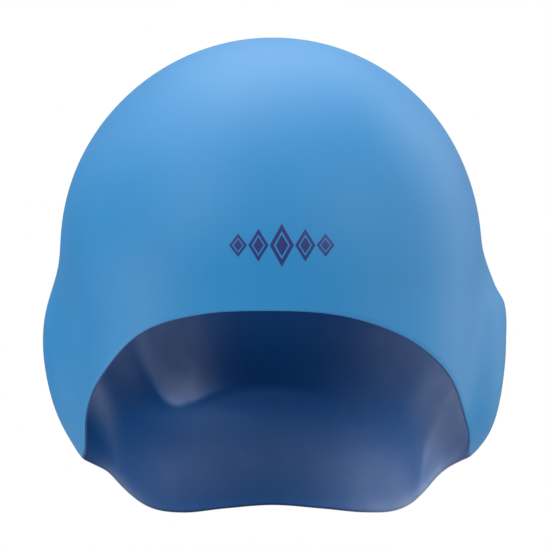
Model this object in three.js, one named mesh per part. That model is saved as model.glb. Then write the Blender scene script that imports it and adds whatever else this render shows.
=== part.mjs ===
// Swim cap for long hair, with a moulded pocket over each ear and a flap over the nape.
// It is one thin sheet of two-colour silicone: a light blue layer outside and a navy layer inside.
// Millimetres, +Z up, face opening towards -Y. The origin is where the crown rests on the head.

import * as THREE from 'three';

// Driving dimensions of the outer surface. Heights here are from the widest level of the dome.
const HALF_WIDTH = 81.6;       // middle of the cap to its side, above the ear pockets
const FRONT_REACH = 96.0;      // middle to the forehead
const BACK_REACH = 105.0;      // middle to the back of the hair
const CROWN_RISE = 82.4;       // widest level to the top of the crown
const TAPER_DEPTH = 175.0;     // widest level to where the drawn-in sides would meet
const TAPER_EASE = 45.0;       // how far down the dome's curve eases into the taper
const PLAN_POWER = 2.15;       // 2 is an ellipse seen from above, more is squarer
const LEAN = -1.2;             // how far the dome leans to the left, seen from the front
const LEAN_HEIGHT = 20.0;
const LEAN_REACH = 60.0;

// The sheet
const LAYER_THICKNESS = 0.4;
const LAYER_GAP = 0.3;
const SHEET_THICKNESS = 2 * LAYER_THICKNESS + LAYER_GAP;

// The mesh of each surface: columns round the cap, rows down its dome and rows down its skirt
const COLUMNS = 48;
const DOME_ROWS = 12;
const SKIRT_ROWS = 12;
const ROWS = DOME_ROWS + SKIRT_ROWS;

// The rim: its height at each angle round from the middle of the forehead, in degrees.
// It arches over the face, drops to a corner under each ear pocket, and hangs lowest at the nape
// in two shallow lobes. The two sides differ a little, as a soft cap's do.
const RIM = [
  { angle: 0, left: -19.9, right: -19.9 },
  { angle: 15, left: -21.2, right: -21.7 },
  { angle: 30, left: -28.1, right: -29.3 },
  { angle: 45, left: -43.8, right: -41.6 },
  { angle: 60, left: -60.5, right: -57.0 },
  { angle: 70, left: -74.5, right: -68.5 },
  { angle: 78, left: -79.5, right: -77.5 },
  { angle: 88, left: -82.0, right: -81.2 },
  { angle: 98, left: -84.5, right: -84.0 },
  { angle: 105, left: -86.9, right: -87.6 },
  { angle: 112, left: -90.0, right: -92.4 },
  { angle: 120, left: -97.0, right: -100.2 },
  { angle: 135, left: -107.6, right: -108.9 },
  { angle: 150, left: -111.7, right: -111.6 },
  { angle: 165, left: -111.4, right: -111.3 },
  { angle: 180, left: -110.4, right: -110.4 },
];

// The forms that stand out of the plain dome, or are pressed into it where lift is below zero.
// angle is degrees from the forehead, minus to the left. width is degrees to each side.
// up and down are millimetres above and below height. A higher power has a flatter top.
// The pockets cover the ears, and the folds run down behind them.
const FORMS = [
  { name: 'left pocket', angle: -98, height: -48, lift: 11.0, width: 27, up: 37, down: 34.5, power: 3.7 },
  { name: 'right pocket', angle: 98, height: -56, lift: 12.1, width: 27, up: 48.5, down: 27.5, power: 4.8 },
  { name: 'its brow', angle: 98, height: -21, lift: 1.7, width: 22, up: 4.5, down: 11, power: 2 },
  { name: 'nape waist', angle: 180, height: -65, lift: -7.0, width: 55, up: 26, down: 25, power: 2 },
  { name: 'nape crease', angle: -155, height: -65, lift: -3.0, width: 20, up: 13, down: 9, power: 2 },
  { name: 'left fold', angle: -126, height: -64, lift: -2.5, width: 9, up: 22, down: 26, power: 2 },
  { name: 'right fold', angle: 122, height: -74, lift: -2.6, width: 8, up: 26, down: 28, power: 2 },
];

// Smooth curve through the rim's heights on one side, level at the forehead and at the nape
function rimHeight(angle) {
  const side = angle < 0 ? 'left' : 'right';
  const turn = Math.abs(angle);
  const slopeAt = (index) => {
    if (index === 0 || index === RIM.length - 1) return 0;
    const [before, here, after] = [RIM[index - 1], RIM[index], RIM[index + 1]];
    const stepIn = here.angle - before.angle;
    const stepOut = after.angle - here.angle;
    const slopeIn = (here[side] - before[side]) / stepIn;
    const slopeOut = (after[side] - here[side]) / stepOut;
    return (slopeIn * stepOut + slopeOut * stepIn) / (stepIn + stepOut);
  };
  let index = 0;
  while (index < RIM.length - 2 && turn > RIM[index + 1].angle) index += 1;
  const step = RIM[index + 1].angle - RIM[index].angle;
  const s = (turn - RIM[index].angle) / step;
  const blend = s * s * (3 - 2 * s);
  const height = THREE.MathUtils.lerp(RIM[index][side], RIM[index + 1][side], blend);
  const easeOut = s * (1 - s) * (1 - s) * step * slopeAt(index);
  const easeIn = s * s * (1 - s) * step * slopeAt(index + 1);
  return height + easeOut - easeIn;
}

// How far the forms push the surface outwards at one place
function liftAt(angle, height) {
  let total = 0;
  for (const form of FORMS) {
    const turn = THREE.MathUtils.euclideanModulo(angle - form.angle + 180, 360) - 180;
    const rise = height - form.height;
    const distance = Math.hypot(turn / form.width, rise / (rise > 0 ? form.up : form.down));
    total += form.lift * Math.exp(-(distance ** form.power));
  }
  return total;
}

// A point of the outer surface: row 0 is the crown, DOME_ROWS the widest level and ROWS the rim
function outerPoint(angle, row) {
  let height;
  if (row < DOME_ROWS) {
    height = CROWN_RISE * Math.cos((row / DOME_ROWS) * (Math.PI / 2));
  } else {
    height = rimHeight(angle) * ((row - DOME_ROWS) / SKIRT_ROWS);
  }
  const ease = THREE.MathUtils.smoothstep(-height, 0, TAPER_EASE);
  const reachUpDown = THREE.MathUtils.lerp(CROWN_RISE, TAPER_DEPTH, ease);
  const roundness = Math.sqrt(1 - Math.min(1, (height / reachUpDown) ** 2));
  const turn = THREE.MathUtils.degToRad(angle);
  const acrossShare = Math.abs(Math.sin(turn)) / HALF_WIDTH;
  const alongShare = Math.abs(Math.cos(turn)) / (Math.cos(turn) > 0 ? FRONT_REACH : BACK_REACH);
  const plan = (acrossShare ** PLAN_POWER + alongShare ** PLAN_POWER) ** (-1 / PLAN_POWER);
  const radius = plan * roundness + liftAt(angle, height) * Math.sqrt(roundness);
  const lean = LEAN * Math.exp(-(((height - LEAN_HEIGHT) / LEAN_REACH) ** 2));
  const floorOfCrown = CROWN_RISE - SHEET_THICKNESS;
  return new THREE.Vector3(
    radius * Math.sin(turn) + lean,
    -radius * Math.cos(turn),
    height - floorOfCrown,
  );
}

// The same point moved straight into the sheet, square to the surface
function pointAtDepth(angle, row, depth) {
  const point = outerPoint(angle, row);
  if (row === 0) return point.setZ(point.z - depth);
  const angleStep = 0.5;
  const rowStep = 0.05;
  const along = outerPoint(angle + angleStep, row).sub(outerPoint(angle - angleStep, row));
  const lower = Math.min(row + rowStep, ROWS);
  const down = outerPoint(angle, lower).sub(outerPoint(angle, row - rowStep));
  const inwards = along.cross(down).normalize();
  return point.addScaledVector(inwards, depth);
}

// One closed layer of the sheet: its outer surface, its inner surface and the rim between them
function layer(outerDepth, innerDepth) {
  const positions = [];
  const triangles = [];
  const surfaces = [outerDepth, innerDepth].map((depth) => {
    const first = positions.length / 3;
    positions.push(...pointAtDepth(0, 0, depth).toArray());
    for (let row = 1; row <= ROWS; row += 1) {
      for (let column = 0; column < COLUMNS; column += 1) {
        const angle = (column / COLUMNS) * 360 - 180;
        positions.push(...pointAtDepth(angle, row, depth).toArray());
      }
    }
    // Gives the number of the vertex at one place on this surface
    return (row, column) => (row === 0 ? first : first + 1 + (row - 1) * COLUMNS + (column % COLUMNS));
  });
  const [outer, inner] = surfaces;
  for (let column = 0; column < COLUMNS; column += 1) {
    for (let row = 0; row < ROWS; row += 1) {
      // Both surfaces are cut along the same diagonal, so that they stay parallel
      const topLeft = [row, column];
      const topRight = [row, column + 1];
      const bottomLeft = [row + 1, column];
      const bottomRight = [row + 1, column + 1];
      const cuts = [[topLeft, bottomLeft, bottomRight]];
      if (row > 0) cuts.push([topLeft, bottomRight, topRight]);
      for (const corners of cuts) {
        triangles.push(...corners.map((corner) => outer(...corner)));
        triangles.push(...corners.toReversed().map((corner) => inner(...corner)));
      }
    }
    const outerRim = [outer(ROWS, column), outer(ROWS, column + 1)];
    const innerRim = [inner(ROWS, column), inner(ROWS, column + 1)];
    triangles.push(outerRim[0], innerRim[1], outerRim[1]);
    triangles.push(outerRim[0], innerRim[0], innerRim[1]);
  }
  const geometry = new THREE.BufferGeometry();
  geometry.setAttribute('position', new THREE.Float32BufferAttribute(positions, 3));
  geometry.setIndex(triangles);
  geometry.computeVertexNormals();
  return geometry;
}

// Light blue silicone outside
const outerLayer = new THREE.Mesh(
  layer(0, LAYER_THICKNESS),
  new THREE.MeshStandardMaterial({ color: 0x3f86c2, roughness: 0.45, metalness: 0 }),
);
outerLayer.name = 'outer_layer';

// Navy silicone inside
const innerLayer = new THREE.Mesh(
  layer(LAYER_THICKNESS + LAYER_GAP, SHEET_THICKNESS),
  new THREE.MeshStandardMaterial({ color: 0x1d3a6e, roughness: 0.45, metalness: 0 }),
);
innerLayer.name = 'inner_layer';

const cap = new THREE.Group();
cap.add(outerLayer, innerLayer);

export default cap;
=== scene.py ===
import math

import bmesh
import bpy
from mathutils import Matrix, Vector, noise


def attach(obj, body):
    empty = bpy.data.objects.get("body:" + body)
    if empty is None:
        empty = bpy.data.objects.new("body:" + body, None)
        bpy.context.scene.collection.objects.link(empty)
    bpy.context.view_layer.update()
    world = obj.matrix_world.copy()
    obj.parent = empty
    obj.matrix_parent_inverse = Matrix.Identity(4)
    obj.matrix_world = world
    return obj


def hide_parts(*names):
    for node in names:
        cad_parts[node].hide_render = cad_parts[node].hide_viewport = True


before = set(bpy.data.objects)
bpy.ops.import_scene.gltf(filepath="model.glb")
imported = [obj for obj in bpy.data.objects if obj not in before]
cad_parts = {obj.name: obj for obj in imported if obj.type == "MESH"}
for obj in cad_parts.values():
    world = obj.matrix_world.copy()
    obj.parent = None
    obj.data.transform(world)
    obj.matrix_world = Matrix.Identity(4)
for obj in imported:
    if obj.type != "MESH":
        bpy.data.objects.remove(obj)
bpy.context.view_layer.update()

# A two-colour silicone swim cap for long hair, standing open as it does on a head.
# The face opening is towards -Y, and the origin is where the crown rests on the head. Left and
# right are as seen from the front.
MM = 0.001                              # lengths are in millimetres unless a comment or MM says otherwise

# The camera looks almost level at the forehead, so that the arch frames the inside of the nape.
# It is far enough back to keep the picture's scale nearly the same over the cap's depth.
PICTURE_SIZE = 550                      # pixels each way
PIXELS_PER_MM = 2.56                    # at the cap's middle
CAMERA_DISTANCE = 900 * MM
CAMERA_ELEVATION = math.radians(1.5)
SENSOR_WIDTH = 36                       # in Blender's own millimetres
CROWN_ABOVE_AIM = 91.1 * MM             # from the middle of the picture up to the crown's inside
AIM_ASIDE = 0.4 * MM

camera = bpy.data.objects.new("camera", bpy.data.cameras.new("camera"))
bpy.context.scene.collection.objects.link(camera)
bpy.context.scene.camera = camera
camera.data.sensor_width = SENSOR_WIDTH
camera.data.lens = SENSOR_WIDTH * PIXELS_PER_MM * CAMERA_DISTANCE / MM / PICTURE_SIZE
towards_camera = Vector((0, -math.cos(CAMERA_ELEVATION), math.sin(CAMERA_ELEVATION)))
aim = Vector((AIM_ASIDE, 0, -CROWN_ABOVE_AIM))
camera.location = aim + towards_camera * CAMERA_DISTANCE
camera.rotation_euler = (-towards_camera).to_track_quat("-Z", "Y").to_euler()


# Outer layer. The light blue half of the cap's sheet: silicone rubber, pressed together with
# the navy half in a heated mould. The mould gives it its form, which is a deep dome with a
# pocket over each ear, a waist above the nape and a fold behind each ear.
HALF_WIDTH = 81.6                       # middle to the side, above the ear pockets
FRONT_REACH = 96.0                      # middle to the forehead
BACK_REACH = 105.0                      # middle to the back of the hair
CROWN_RISE = 82.4                       # widest level to the top of the crown
TAPER_DEPTH = 175.0                     # widest level to where the drawn-in sides would meet
TAPER_EASE = 45.0                       # how far down the dome's curve eases into the taper
PLAN_POWER = 2.15                       # 2 is an ellipse seen from above, more is squarer
LEAN = -1.2                             # the dome leans to the left
LEAN_HEIGHT = 20.0
LEAN_REACH = 60.0
UNEVEN_DEPTH = 0.25                     # the moulded sheet is never quite true
UNEVEN_SIZE = 52.0
SHEET_THICKNESS = 1.1
OUTER_THICKNESS = 0.42
SHEET_COLUMNS = 280
SHEET_ROWS = 168
COLUMN_GATHER = 20.0                    # degrees: brings the columns closer together at the back
DOME_SHARE = 0.44                       # the share of the rows that is above the widest level
SEAM_GAP = 0.01                         # points nearer than this are one, as at the crown
RIM_SHARE = 0.55                        # what is left of the thickness at the trimmed rim
RIM_THINNING = 2.2                      # how far above the rim the sheet begins to thin
RIM_FROM_OUTSIDE = 0.5                  # the share of the thinning that the outer face takes
RIM_ROUND = 0.06                        # how far the trimmed rim's corners are rounded
RIM_CORNER = 45                         # degrees: an edge at the rim that turns more is a corner
RIM_STEP = 0.7                          # beside the face, the navy shows this far below the light blue

# The rim's height at each angle from the middle of the forehead, in millimetres from the widest
# level: the forehead arch, a corner under each ear pocket and two shallow lobes at the nape.
RIM = [
    {"angle": 0, "left": -19.9, "right": -19.9},
    {"angle": 15, "left": -21.2, "right": -21.7},
    {"angle": 30, "left": -28.1, "right": -29.3},
    {"angle": 45, "left": -43.8, "right": -41.6},
    {"angle": 60, "left": -60.5, "right": -57.0},
    {"angle": 70, "left": -74.5, "right": -68.5},
    {"angle": 78, "left": -79.5, "right": -77.5},
    {"angle": 88, "left": -82.0, "right": -81.2},
    {"angle": 98, "left": -84.5, "right": -84.0},
    {"angle": 105, "left": -86.9, "right": -87.6},
    {"angle": 112, "left": -90.0, "right": -92.4},
    {"angle": 120, "left": -97.0, "right": -100.2},
    {"angle": 135, "left": -107.6, "right": -108.9},
    {"angle": 150, "left": -111.7, "right": -111.6},
    {"angle": 165, "left": -111.4, "right": -111.3},
    {"angle": 180, "left": -110.4, "right": -110.4},
]

# What stands out of the plain dome, or is pressed into it where lift is below zero.
# Angles and widths are degrees, the rest millimetres. Heights are from the widest level, and up
# and down are the reach above and below them. A higher power has a flatter top.
FORMS = [
    # name                angle  height  lift  width   up   down  power
    ("left ear pocket",     -98,    -48,  11.0,   27,  37.0,  34.5,  3.7),
    ("right ear pocket",     98,    -56,  12.1,   27,  48.5,  27.5,  4.8),
    ("right pocket's brow",  98,    -21,   1.7,   22,   4.5,  11.0,  2),
    ("nape waist",          180,    -65,  -7.0,   55,  26.0,  25.0,  2),
    ("crease left of it",  -155,    -65,  -3.0,   20,  13.0,   9.0,  2),
    ("fold by left ear",   -126,    -64,  -2.5,    9,  22.0,  26.0,  2),
    ("fold by right ear",   122,    -74,  -2.6,    8,  26.0,  28.0,  2),
]

# The crease where the back of the dome folds over the nape, from right to left. Angles past -180
# go on round to the right. push is how far the sheet just above the crease stands outwards, or
# hangs inwards over the nape where it is below zero. edge is how far above the crease the painted
# sheen on it reaches its full amount.
CREASE = [
    {"angle": -204, "height": -66.0, "push": 0.0, "edge": 3.0},
    {"angle": -190, "height": -62.5, "push": 1.6, "edge": 3.0},
    {"angle": -180, "height": -60.0, "push": 2.4, "edge": 2.5},
    {"angle": -171, "height": -60.5, "push": 1.6, "edge": 2.0},
    {"angle": -163, "height": -63.0, "push": -1.0, "edge": 1.6},
    {"angle": -156, "height": -66.2, "push": -4.2, "edge": 1.6},
    {"angle": -149, "height": -67.0, "push": -5.0, "edge": 1.8},
    {"angle": -144, "height": -62.0, "push": -4.2, "edge": 3.0},
    {"angle": -139, "height": -48.0, "push": -2.4, "edge": 8.0},
    {"angle": -135, "height": -36.0, "push": 0.0, "edge": 9.0},
]
CREASE_STEEP = 11.0                     # how soon the push is reached above the crease
CREASE_FADE = 26.0                      # and how far above it lasts
CREASE_TOP = 0.0                        # the height at which it has gone
CREASE_TOP_EASE = 32.0                  # and how far below that it begins to go

# The pleat behind each ear, a narrow ridge inside that runs down to the rim
PLEATS = [
    # name         angle at top  angle at rim   top  depth  width
    ("left pleat",         -122,         -119,  -42,   0.9,   3.6),
    ("right pleat",       119.5,        121.5,  -44,   1.2,   2.4),
]
PLEAT_ROUND = 0.7                       # how round its top is
PLEAT_EASE = 20.0                       # the length over which a pleat begins, and fades at the rim
PLEAT_AT_RIM = 0.2                      # the share of its depth that is left at the rim
MM_PER_DEGREE = 1.5                     # round the back of the cap


def along(rows, angle, column):
    """The smooth curve through one column of a table with a row for each angle, level at its ends."""
    angle = min(rows[-1]["angle"], max(rows[0]["angle"], angle))

    def slope(index):
        if index in (0, len(rows) - 1):
            return 0.0
        before, here, after = rows[index - 1], rows[index], rows[index + 1]
        step_in = here["angle"] - before["angle"]
        step_out = after["angle"] - here["angle"]
        slope_in = (here[column] - before[column]) / step_in
        slope_out = (after[column] - here[column]) / step_out
        return (slope_in * step_out + slope_out * step_in) / (step_in + step_out)

    index = 0
    while index < len(rows) - 2 and angle > rows[index + 1]["angle"]:
        index += 1
    low, high = rows[index], rows[index + 1]
    step = high["angle"] - low["angle"]
    s = (angle - low["angle"]) / step
    blend = s * s * (3 - 2 * s)
    value = low[column] + (high[column] - low[column]) * blend
    return value + s * (1 - s) * step * ((1 - s) * slope(index) - s * slope(index + 1))


def rim_height(angle):
    return along(RIM, abs(angle), "left" if angle < 0 else "right")


def form_lift(angle, height, forms=FORMS):
    """What a table of forms adds up to at one place."""
    total = 0.0
    for _, form_angle, form_height, amount, width, up, down, power in forms:
        turn = (angle - form_angle + 180) % 360 - 180
        rise = height - form_height
        distance = math.hypot(turn / width, rise / (up if rise > 0 else down))
        total += amount * math.exp(-(distance ** power))
    return total


def above_crease(turn, height):
    """How far a place is above the crease, measured square to it."""
    line = along(CREASE, turn, "height")
    slope = (along(CREASE, turn + 1, "height") - line) / MM_PER_DEGREE
    return (height - line) / math.hypot(1, slope)


def crease_lift(angle, height):
    """How far the crease pushes the sheet outwards at one place."""
    turn = angle if angle < 0 else angle - 360
    if not CREASE[0]["angle"] < turn < CREASE[-1]["angle"]:
        return 0.0
    above = above_crease(turn, height)
    if above < 0:
        return 0.0
    reached = 1 - math.exp(-above / CREASE_STEEP)
    below_top = min(1.0, max(0.0, (CREASE_TOP - height) / CREASE_TOP_EASE))
    left = below_top * below_top * (3 - 2 * below_top) * math.exp(-(above / CREASE_FADE) ** 2)
    return along(CREASE, turn, "push") * reached * left


def pleat_lift(angle, height):
    """What the pleats add outwards at one place, which is below zero: they stand inwards."""
    total = 0.0
    for _, top_angle, rim_angle, top, depth, width in PLEATS:
        down = (top - height) / (top - rim_height(rim_angle))
        aside = (angle - top_angle - (rim_angle - top_angle) * down) * MM_PER_DEGREE
        begun = min(1.0, max(0.0, (top - height) / PLEAT_EASE))
        left = min(1.0, PLEAT_AT_RIM + max(0.0, height - rim_height(rim_angle)) / PLEAT_EASE)
        ridge = math.exp((PLEAT_ROUND - math.hypot(aside, PLEAT_ROUND)) / width)
        total -= depth * begun * begun * (3 - 2 * begun) * left * ridge
    return total


def sheet_point(angle, fall, short):
    """The outer surface at an angle round the head, from fall 0 at the crown to 1 at the rim,
    and how far above the rim it is. short is how much the sheet is cut short beside the face."""
    rim = rim_height(angle) + short * math.sin(math.radians(min(90, abs(angle)))) ** 2
    if fall < DOME_SHARE:
        height = CROWN_RISE * math.cos(fall / DOME_SHARE * math.pi / 2)
    else:
        height = rim * (fall - DOME_SHARE) / (1 - DOME_SHARE)
    ease = min(1.0, max(0.0, -height / TAPER_EASE))
    reach_down = CROWN_RISE + (TAPER_DEPTH - CROWN_RISE) * ease * ease * (3 - 2 * ease)
    roundness = math.sqrt(max(0.0, 1 - (height / reach_down) ** 2))
    turn = math.radians(angle)
    reach = FRONT_REACH if math.cos(turn) > 0 else BACK_REACH
    plan = (abs(math.sin(turn) / HALF_WIDTH) ** PLAN_POWER
            + abs(math.cos(turn) / reach) ** PLAN_POWER) ** (-1 / PLAN_POWER)
    lift = form_lift(angle, height) + crease_lift(angle, height) + pleat_lift(angle, height)
    radius = plan * roundness + lift * math.sqrt(roundness)
    lean = LEAN * math.exp(-(((height - LEAN_HEIGHT) / LEAN_REACH) ** 2))
    place = Vector((
        radius * math.sin(turn) + lean,
        -radius * math.cos(turn),
        height - CROWN_RISE + SHEET_THICKNESS,
    ))
    place *= 1 + UNEVEN_DEPTH * noise.noise(place / UNEVEN_SIZE) / plan
    return place * MM, height - rim


def thinned(above_rim):
    """The share of the sheet's thickness that is left at a height above the rim."""
    s = min(1.0, max(0.0, above_rim / RIM_THINNING))
    return RIM_SHARE + (1 - RIM_SHARE) * s * s * (3 - 2 * s)


def press_sheet(name, depth, thickness, short):
    """A layer of the sheet as a mesh object: depth is how far its outer face lies in the sheet.
    The vertex attribute above_rim says how high each point is over the rim, in millimetres.
    The grid is wrapped round the head, with one side at the crown and the other at the rim."""
    sheet = bmesh.new()
    bmesh.ops.create_grid(sheet, x_segments=SHEET_COLUMNS, y_segments=SHEET_ROWS, size=1)
    above_rim = sheet.verts.layers.float.new("above_rim")
    for vert in sheet.verts:
        angle = 180 * vert.co.x + COLUMN_GATHER * math.sin(math.pi * vert.co.x)
        place, height = sheet_point(angle, (1 - vert.co.y) / 2, short)
        vert.co = place
        vert[above_rim] = height
    bmesh.ops.remove_doubles(sheet, verts=sheet.verts, dist=SEAM_GAP * MM)
    bmesh.ops.recalc_face_normals(sheet, faces=sheet.faces)
    sheet.normal_update()
    for vert, way in [(vert, vert.normal.copy()) for vert in sheet.verts]:
        left = thinned(vert[above_rim])
        vert.co -= way * (depth * left + SHEET_THICKNESS * (1 - left) * RIM_FROM_OUTSIDE) * MM
    sheet.normal_update()
    outer_face = set(sheet.verts)
    bmesh.ops.solidify(sheet, geom=sheet.faces[:] + sheet.edges[:] + sheet.verts[:],
                       thickness=thickness * MM)
    sheet.normal_update()
    for vert in set(sheet.verts) - outer_face:
        vert.co -= vert.normal * thickness * (1 - thinned(vert[above_rim])) * MM
    rim_edges = [
        edge for edge in sheet.edges
        if all(vert[above_rim] < RIM_ROUND for vert in edge.verts)
        and edge.calc_face_angle(0) > math.radians(RIM_CORNER)
    ]
    bmesh.ops.bevel(sheet, geom=rim_edges, offset=RIM_ROUND * MM, segments=2, profile=0.5,
                    affect="EDGES", material=-1)
    mesh = bpy.data.meshes.new(name)
    sheet.to_mesh(mesh)
    sheet.free()
    mesh.shade_smooth()
    piece = bpy.data.objects.new(name, mesh)
    bpy.context.scene.collection.objects.link(piece)
    piece.modifiers.new("even_shading", "WEIGHTED_NORMAL").keep_sharp = False
    return piece


def linear(hex_colour):
    """An sRGB hex colour as the linear red, green, blue and alpha that Blender works in."""
    shares = [int(hex_colour[i:i + 2], 16) / 255 for i in (1, 3, 5)]
    return [c / 12.92 if c <= 0.04045 else ((c + 0.055) / 1.055) ** 2.4 for c in shares] + [1.0]


def add_node(material, kind, inputs, **settings):
    """Adds a node. inputs gives each socket, by name or number, a value or another node's socket."""
    made = material.node_tree.nodes.new(kind)
    for setting, value in settings.items():
        setattr(made, setting, value)
    for socket, value in inputs.items():
        if isinstance(value, bpy.types.NodeSocket):
            material.node_tree.links.new(value, made.inputs[socket])
        else:
            made.inputs[socket].default_value = value
    return made


# A Mix node's inputs for two numbers and for two colours, and its output for a colour
NUMBER_A, NUMBER_B = 2, 3
COLOUR_A, COLOUR_B = 6, 7
MIXED_COLOUR = 2
NOISE_LOW, NOISE_HIGH = 0.3, 0.7        # nearly all of a noise texture's values lie between these

# Silicone rubber, pigmented right through and pressed in a bead-blasted mould: satin, with a very
# fine even tooth, a faint dry bloom that pales it at grazing angles, and no grain of its own.
SILICONE_IOR = 1.41
CLOUD_SIZE = 38.0                       # the pigment's faint clouds
CLOUD_STRENGTH = 0.3
GLOSS_CHANGE = (-0.03, 0.04)            # how the roughness follows the clouds
TOOTH_SIZE = 0.9                        # the mould's tooth is 0.1 mm: drawn coarse enough to show
TOOTH_DEPTH = 0.012
BLOOM_COLOUR = "#e8f2ff"
BLOOM_ROUGHNESS = 0.5


def silicone(name, pigment, thin_pigment, roughness, shine, bloom):
    """The material, its colour, which a print or painted sheen may be laid over, and its shader."""
    material = bpy.data.materials.new(name)
    material.use_nodes = True
    material.node_tree.nodes.clear()
    place = add_node(material, "ShaderNodeTexCoord", {}).outputs["Object"]
    clouds = add_node(material, "ShaderNodeTexNoise", {
        "Vector": place, "Scale": 1 / (CLOUD_SIZE * MM), "Detail": 4.0, "Roughness": 0.6,
    })
    cloud_share = add_node(material, "ShaderNodeMapRange", {
        "Value": clouds.outputs["Fac"], "From Min": NOISE_LOW, "From Max": NOISE_HIGH,
        "To Min": 0.0, "To Max": CLOUD_STRENGTH,
    })
    colour = add_node(material, "ShaderNodeMix", {
        "Factor": cloud_share.outputs["Result"],
        COLOUR_A: linear(pigment), COLOUR_B: linear(thin_pigment),
    }, data_type="RGBA")
    gloss = add_node(material, "ShaderNodeMapRange", {
        "Value": clouds.outputs["Fac"], "From Min": NOISE_LOW, "From Max": NOISE_HIGH,
        "To Min": roughness + GLOSS_CHANGE[0], "To Max": roughness + GLOSS_CHANGE[1],
    })
    tooth = add_node(material, "ShaderNodeTexNoise", {
        "Vector": place, "Scale": 1 / (TOOTH_SIZE * MM), "Detail": 2.0, "Roughness": 0.6,
    })
    relief = add_node(material, "ShaderNodeBump", {
        "Strength": 1.0, "Distance": TOOTH_DEPTH * MM, "Height": tooth.outputs["Fac"],
    })
    shader = add_node(material, "ShaderNodeBsdfPrincipled", {
        "Base Color": colour.outputs[MIXED_COLOUR], "Roughness": gloss.outputs["Result"],
        "IOR": SILICONE_IOR, "Specular IOR Level": shine, "Normal": relief.outputs["Normal"],
        "Sheen Weight": bloom, "Sheen Roughness": BLOOM_ROUGHNESS, "Sheen Tint": linear(BLOOM_COLOUR),
    })
    add_node(material, "ShaderNodeOutputMaterial", {"Surface": shader.outputs["BSDF"]})
    return material, colour, shader


# The cut rim, which the mould never touched, is rougher, and painted shade darkens both colours there
PAINTED_RIM_SHADE_COLOUR = "#021f45"
RIM_ROUGHNESS = 0.8
RIM_SHADE_FROM = 0.2                    # it is at its deepest up to this height above the rim
OUTER_RIM_SHADE = 0.3
OUTER_RIM_HEIGHT = 0.5


def painted_rim_shade(material, colour, shader, share, height):
    """The colour with painted shade up to a height in millimetres above the rim, where it is rougher too.
    """
    above_rim = add_node(material, "ShaderNodeAttribute", {}, attribute_name="above_rim")
    shade = add_node(material, "ShaderNodeMapRange", {
        "Value": above_rim.outputs["Fac"], "From Min": RIM_SHADE_FROM, "From Max": height,
        "To Min": share, "To Max": 0.0,
    })
    rougher = add_node(material, "ShaderNodeMix", {
        "Factor": shade.outputs["Result"],
        NUMBER_A: shader.inputs["Roughness"].links[0].from_socket, NUMBER_B: RIM_ROUGHNESS,
    })
    material.node_tree.links.new(rougher.outputs[0], shader.inputs["Roughness"])
    return add_node(material, "ShaderNodeMix", {
        "Factor": shade.outputs["Result"],
        COLOUR_A: colour.outputs[MIXED_COLOUR], COLOUR_B: linear(PAINTED_RIM_SHADE_COLOUR),
    }, data_type="RGBA")


outer = press_sheet("outer_layer_silicone", 0, OUTER_THICKNESS, RIM_STEP)
outer_silicone, outer_colour, outer_shader = silicone(
    "light_blue_silicone", "#096090", "#16699a", roughness=0.55, shine=0.5, bloom=0.03)

# The print on the forehead: a row of lozenges in navy silicone ink, screened on and cured. It is
# smoother than the blasted sheet and stands up a little.
INK_COLOUR = "#182457"
INK_ROUGHNESS = 0.38
INK_RELIEF = 0.03
PRINT_ACROSS = 2.8                      # right of the middle
PRINT_HEIGHT = -78.2                    # from where the crown rests on the head
PAST_PRINT = 2.0                        # as far out as counts: every lozenge's ink ends sooner
LOZENGES = [
    # across  width  height
    (-15.3,     6.4,    8.2),
    (-8.2,      7.2,   11.6),
    (0.0,       8.6,   15.2),
    (8.2,       7.2,   11.6),
    (15.3,      6.4,    8.2),
]
INK_RINGS = [
    # How far out from a lozenge's middle, whose edge is at 0.5, and whether there is ink
    # out  ink
    (0.0,    1),
    (0.25,   1),
    (0.265,  0),
    (0.315,  0),
    (0.33,   1),
    (0.492,  1),
    (0.505,  0),
    (1.0,    0),
]

on_cap = add_node(outer_silicone, "ShaderNodeTexCoord", {}).outputs["Object"]
on_cap = add_node(outer_silicone, "ShaderNodeSeparateXYZ", {"Vector": on_cap}).outputs
nearest = PAST_PRINT
for across, width, tall in LOZENGES:
    aside = add_node(outer_silicone, "ShaderNodeMath", {
        0: on_cap["X"], 1: (PRINT_ACROSS + across) * MM}, operation="SUBTRACT").outputs[0]
    aside = add_node(outer_silicone, "ShaderNodeMath", {0: aside}, operation="ABSOLUTE").outputs[0]
    upward = add_node(outer_silicone, "ShaderNodeMath", {
        0: on_cap["Z"], 1: PRINT_HEIGHT * MM}, operation="SUBTRACT").outputs[0]
    upward = add_node(outer_silicone, "ShaderNodeMath", {0: upward}, operation="ABSOLUTE").outputs[0]
    upward = add_node(outer_silicone, "ShaderNodeMath", {
        0: upward, 1: tall * MM}, operation="DIVIDE").outputs[0]
    out_from_middle = add_node(outer_silicone, "ShaderNodeMath", {
        0: aside, 1: 1 / (width * MM), 2: upward}, operation="MULTIPLY_ADD").outputs[0]
    nearest = add_node(outer_silicone, "ShaderNodeMath", {
        0: out_from_middle, 1: nearest}, operation="MINIMUM").outputs[0]
rings = add_node(outer_silicone, "ShaderNodeValToRGB", {"Fac": nearest})
for position, _ in INK_RINGS[1:-1]:
    rings.color_ramp.elements.new(position)
for stop, (position, amount) in zip(rings.color_ramp.elements, INK_RINGS):
    stop.color = (amount, amount, amount, 1)
at_front = add_node(outer_silicone, "ShaderNodeMath", {
    0: on_cap["Y"], 1: 0.0}, operation="LESS_THAN")
ink = add_node(outer_silicone, "ShaderNodeMath", {
    0: rings.outputs["Color"], 1: at_front.outputs[0]}, operation="MULTIPLY").outputs[0]
printed = add_node(outer_silicone, "ShaderNodeMix", {
    "Factor": ink, COLOUR_A: outer_colour.outputs[MIXED_COLOUR], COLOUR_B: linear(INK_COLOUR)},
    data_type="RGBA")
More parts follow.
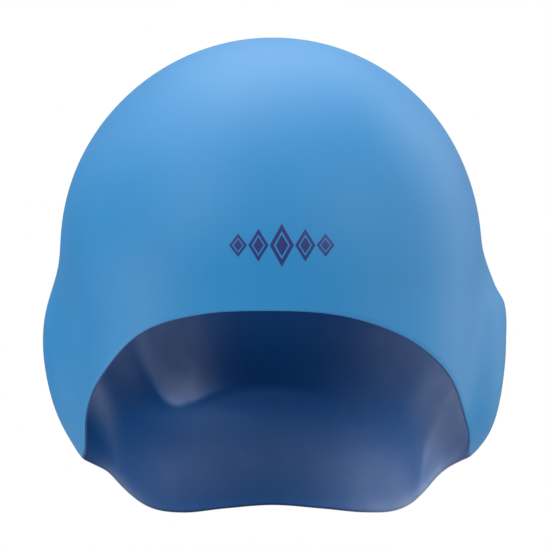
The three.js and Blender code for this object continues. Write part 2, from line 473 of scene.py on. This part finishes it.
smoother = add_node(outer_silicone, "ShaderNodeMix", {
    "Factor": ink,
    NUMBER_A: outer_shader.inputs["Roughness"].links[0].from_socket, NUMBER_B: INK_ROUGHNESS})
ink_relief = add_node(outer_silicone, "ShaderNodeBump", {
    "Strength": 1.0, "Distance": INK_RELIEF * MM, "Height": ink,
    "Normal": outer_shader.inputs["Normal"].links[0].from_socket})
outer_silicone.node_tree.links.new(smoother.outputs[0], outer_shader.inputs["Roughness"])
outer_silicone.node_tree.links.new(ink_relief.outputs["Normal"], outer_shader.inputs["Normal"])
# Painted shade darkens the light blue towards a deep navy at its cut rim
printed = painted_rim_shade(outer_silicone, printed, outer_shader, OUTER_RIM_SHADE, OUTER_RIM_HEIGHT)
outer_silicone.node_tree.links.new(
    printed.outputs[MIXED_COLOUR], outer_shader.inputs["Base Color"])
outer.data.materials.append(outer_silicone)
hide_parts("outer_layer")
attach(outer, "root")

# Inner layer. The navy half of the sheet, bonded to the outer half in the mould. It is the thicker
# half, so the trimmed rim shows mostly navy.
BOND = 0.03
INNER_DEPTH = OUTER_THICKNESS + BOND
INNER_RIM_SHADE = 0.9
INNER_RIM_HEIGHT = 0.9

inner = press_sheet("inner_layer_silicone", INNER_DEPTH, SHEET_THICKNESS - INNER_DEPTH, 0)
inner_silicone, inner_colour, inner_shader = silicone(
    "navy_silicone", "#064a87", "#0f518d", roughness=0.45, shine=0.6, bloom=0.03)

# Painted highlights and sheen inside: a pale colour laid unevenly over the navy, most of it above the
# crease, behind the ears and in the right lobe. amount is the share of the navy that it covers.
PAINTED_SHEEN_COLOUR = "#dbe5f9"
BLOTCH_SIZE = 10.0                      # painted sheen comes in soft, faint blotches about this far apart
BLOTCH_STRENGTH = 0.13
PAINTED_SHEEN_ABOVE_CREASE = [
    # name                 angle  height  amount  width   up   down  power
    ("over the crease",     -154,    -58,   0.04,   9.5,  10.0,  12.0,  4),
    ("up to the arch",      -151,    -44,  0.205,  13.5,  36.0,  26.0,  2.4),
    ("patch in its middle", -155,    -55,   0.08,   6.0,  10.0,  12.0,  2),
]
PAINTED_SHEEN_ELSEWHERE = [
    ("left shoulder",       -133,    -46,   0.14,     9,  20.0,  13.0,  2),
    ("by the left ear",     -119,    -56,   0.22,   4.5,   9.0,  13.0,  2),
    ("right wall",           123,    -58,   0.18,    12,  34.0,  22.0,  2),
    ("by the right ear",     111,    -72,   0.18,    10,  22.0,  30.0,  2.5),
    ("upper right",          144,    -40,   0.13,    17,  22.0,  22.0,  2),
    ("right lobe",           142,   -101,   0.12,    19,  14.0,  34.0,  2),
    ("left lobe",           -145,    -95,   0.05,    14,  12.0,  14.0,  2),
    ("nape",                 178,    -92,   0.05,    55,  14.0,  16.0,  2),
    ("right of the nape",    156,    -74,   0.01,    18,  20.0,  20.0,  2),
]
PAINTED_SHEEN_BY_RIM = [
    # name                 angle  height above the rim  amount  width  up  down  power
    ("under the left ear",  -120,                    0,   0.14,    15,  5,    5,  2),
    ("under the right ear",  108,                    0,   0.14,    16,  6,    6,  2),
    ("right lobe's rim",     130,                    0,   0.17,    18,  5,    5,  2),
]
PAINTED_SHEEN_OFF_RIM = 0.6                      # elsewhere there is no painted sheen on the rim up to this height
PAINTED_SHEEN_OFF_RIM_EDGE = 0.8                 # and this much higher all of it is there
PAINTED_SHEEN_ON_PLEATS = 0.05                   # for each millimetre that a pleat stands in
PAINTED_SHEEN_ON_CREASE = 0.03                   # on the crease's lip, right of its tip
CREASE_LIP_DROP = 3.5                   # the lip's middle is this far below the crease
CREASE_LIP_WIDTH = 2.2
CREASE_LIP_ANGLE = -173
CREASE_LIP_TURN = 13                    # degrees to each side


def painted_sheen_at(angle, height, above_rim):
    """The share of the navy that the painted sheen covers at one place inside."""
    amount = form_lift(angle, height, PAINTED_SHEEN_ELSEWHERE) - PAINTED_SHEEN_ON_PLEATS * pleat_lift(angle, height)
    turn = angle if angle < 0 else angle - 360
    if CREASE[0]["angle"] < turn < CREASE[-1]["angle"]:
        above = above_crease(turn, height)
        shown = min(1.0, max(0.0, above / along(CREASE, turn, "edge")))
        amount += shown * form_lift(angle, height, PAINTED_SHEEN_ABOVE_CREASE)
        below_lip = (above + CREASE_LIP_DROP) / CREASE_LIP_WIDTH
        aside = (turn - CREASE_LIP_ANGLE) / CREASE_LIP_TURN
        amount += PAINTED_SHEEN_ON_CREASE * math.exp(-below_lip ** 2 - aside ** 4)
    amount *= min(1.0, max(0.0, (above_rim - PAINTED_SHEEN_OFF_RIM) / PAINTED_SHEEN_OFF_RIM_EDGE))
    return amount + form_lift(angle, above_rim, PAINTED_SHEEN_BY_RIM)


# Painted sheen: each point inside gets a share of pale colour that stands in for highlights and sheen
painted_sheen = inner.data.attributes.new("painted_sheen", "FLOAT", "POINT")
over_rim = inner.data.attributes["above_rim"]
for vert, amount, above in zip(inner.data.vertices, painted_sheen.data, over_rim.data):
    angle = math.degrees(math.atan2(vert.co.x, -vert.co.y))
    height = vert.co.z / MM + CROWN_RISE - SHEET_THICKNESS
    amount.value = painted_sheen_at(angle, height, above.value)
painted_sheen_here = add_node(inner_silicone, "ShaderNodeAttribute", {}, attribute_name="painted_sheen")
on_sheet = add_node(inner_silicone, "ShaderNodeTexCoord", {}).outputs["Object"]
blotches = add_node(inner_silicone, "ShaderNodeTexNoise", {
    "Vector": on_sheet, "Scale": 1 / (BLOTCH_SIZE * MM), "Detail": 2.0, "Roughness": 0.5})
blotches = add_node(inner_silicone, "ShaderNodeMapRange", {
    "Value": blotches.outputs["Fac"], "From Min": NOISE_LOW, "From Max": NOISE_HIGH,
    "To Min": 1 - BLOTCH_STRENGTH, "To Max": 1 + BLOTCH_STRENGTH})
blotched = add_node(inner_silicone, "ShaderNodeMath", {
    0: painted_sheen_here.outputs["Fac"], 1: blotches.outputs["Result"]}, operation="MULTIPLY")
# Painted shade darkens the navy at its cut rim
inner_colour = painted_rim_shade(
    inner_silicone, inner_colour, inner_shader, INNER_RIM_SHADE, INNER_RIM_HEIGHT)
# The pale painted sheen laid over the navy
with_painted_sheen = add_node(inner_silicone, "ShaderNodeMix", {
    "Factor": blotched.outputs[0],
    COLOUR_A: inner_colour.outputs[MIXED_COLOUR], COLOUR_B: linear(PAINTED_SHEEN_COLOUR)},
    data_type="RGBA")
inner_silicone.node_tree.links.new(
    with_painted_sheen.outputs[MIXED_COLOUR], inner_shader.inputs["Base Color"])
inner.data.materials.append(inner_silicone)
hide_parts("inner_layer")
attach(inner, "root")

# The studio: a pale matte floor well below the cap, which is held up as a head would hold it, and
# a white surround. Soft boxes overhead and behind draw the pale band over the crown and down the
# right side, others light the front, and a small card under the face lights the inside.
FLOOR_DROP = 1.75                       # in metres, as all of the studio is
FLOOR_RADIUS = 6.0
FLOOR_SIDES = 128
FLOOR_GLOW = 0.55                       # as if from lamps of its own, which don't reach the cap
SURROUND_LIGHT = 0.12                   # what the surround gives the cap, where the camera sees 1

floor_mesh = bmesh.new()
bmesh.ops.create_circle(floor_mesh, cap_ends=True, segments=FLOOR_SIDES, radius=FLOOR_RADIUS)
bmesh.ops.translate(floor_mesh, verts=floor_mesh.verts, vec=(0, 0, -FLOOR_DROP))
floor = bpy.data.objects.new("studio_floor", bpy.data.meshes.new("studio_floor"))
floor_mesh.to_mesh(floor.data)
floor_mesh.free()
bpy.context.scene.collection.objects.link(floor)
floor_paint = bpy.data.materials.new("white_matte_paint")
floor_paint.use_nodes = True
floor_paint.node_tree.nodes.clear()
seen = add_node(floor_paint, "ShaderNodeLightPath", {}).outputs["Is Camera Ray"]
glow = add_node(floor_paint, "ShaderNodeMath", {0: seen, 1: FLOOR_GLOW}, operation="MULTIPLY")
floor_shader = add_node(floor_paint, "ShaderNodeBsdfPrincipled", {
    "Base Color": linear("#f4f4f2"), "Roughness": 0.9,
    "Emission Color": linear("#ffffff"), "Emission Strength": glow.outputs[0],
})
add_node(floor_paint, "ShaderNodeOutputMaterial", {"Surface": floor_shader.outputs["BSDF"]})
floor.data.materials.append(floor_paint)

LIGHT_DISTANCE = 2.2                    # from the middle of the cap
CAP_MIDDLE = Vector((0, 0, -95)) * MM
SOFT_BOXES = [
    # Angles are degrees: bearing is from the front towards the right, height above level. A box
    # that isn't mirrored lights the sheet and draws no pale patch on it.
    # name             bearing  height  size  watts  mirrored
    ("overhead",             0,     88,  2.0,    40,  True),
    ("overhead_back",      180,     60,  1.8,    28,  True),
    ("overhead_left",      -90,     60,  1.6,    25,  True),
    ("back_left",         -120,     35,  1.4,     7,  True),
    ("back_right",         120,     35,  1.4,    23,  True),
    ("right",              115,      0,  1.4,    16,  True),
    ("front_left_high",    -40,     28,  1.4,    35,  True),
    ("front_right_high",    40,     28,  1.4,    32,  True),
    ("front_left",         -65,      0,  1.4,     9,  False),
    ("front_right",         65,      0,  1.4,    16,  True),
    ("low_left",           -80,    -20,  1.4,    28,  True),
]
CARD_PLACE = Vector((0.05, -0.25, -0.42))
CARD_AIM = Vector((0, 0.08, -0.14))
CARD_SIZE = 0.14
CARD_WATTS = 0.48


def add_light(name, place, aim, size, watts, mirrored):
    """A square soft box at a place, facing its aim, that the camera doesn't see."""
    lamp = bpy.data.objects.new(name, bpy.data.lights.new(name, "AREA"))
    bpy.context.scene.collection.objects.link(lamp)
    lamp.data.size = size
    lamp.data.energy = watts
    lamp.location = place
    lamp.rotation_euler = (place - aim).to_track_quat("Z", "Y").to_euler()
    lamp.visible_camera = False
    lamp.visible_glossy = mirrored


for name, bearing, height, size, watts, mirrored in SOFT_BOXES:
    across, up = math.radians(bearing), math.radians(height)
    way = Vector((math.sin(across) * math.cos(up), -math.cos(across) * math.cos(up), math.sin(up)))
    place = CAP_MIDDLE + way * LIGHT_DISTANCE
    add_light(name + "_soft_box", place, CAP_MIDDLE, size, watts, mirrored)
add_light("inside_card", CARD_PLACE, CARD_AIM, CARD_SIZE, CARD_WATTS, mirrored=True)

surround = bpy.data.worlds.new("white_surround")
bpy.context.scene.world = surround
surround.use_nodes = True
surround.node_tree.nodes.clear()
seen = add_node(surround, "ShaderNodeLightPath", {}).outputs["Is Camera Ray"]
strength = add_node(surround, "ShaderNodeMapRange", {
    "Value": seen, "To Min": SURROUND_LIGHT, "To Max": 1.0,
})
backdrop = add_node(surround, "ShaderNodeBackground", {
    "Color": linear("#ffffff"), "Strength": strength.outputs["Result"],
})
add_node(surround, "ShaderNodeOutputWorld", {"Surface": backdrop.outputs["Background"]})
bpy.context.scene.view_settings.view_transform = "Standard"
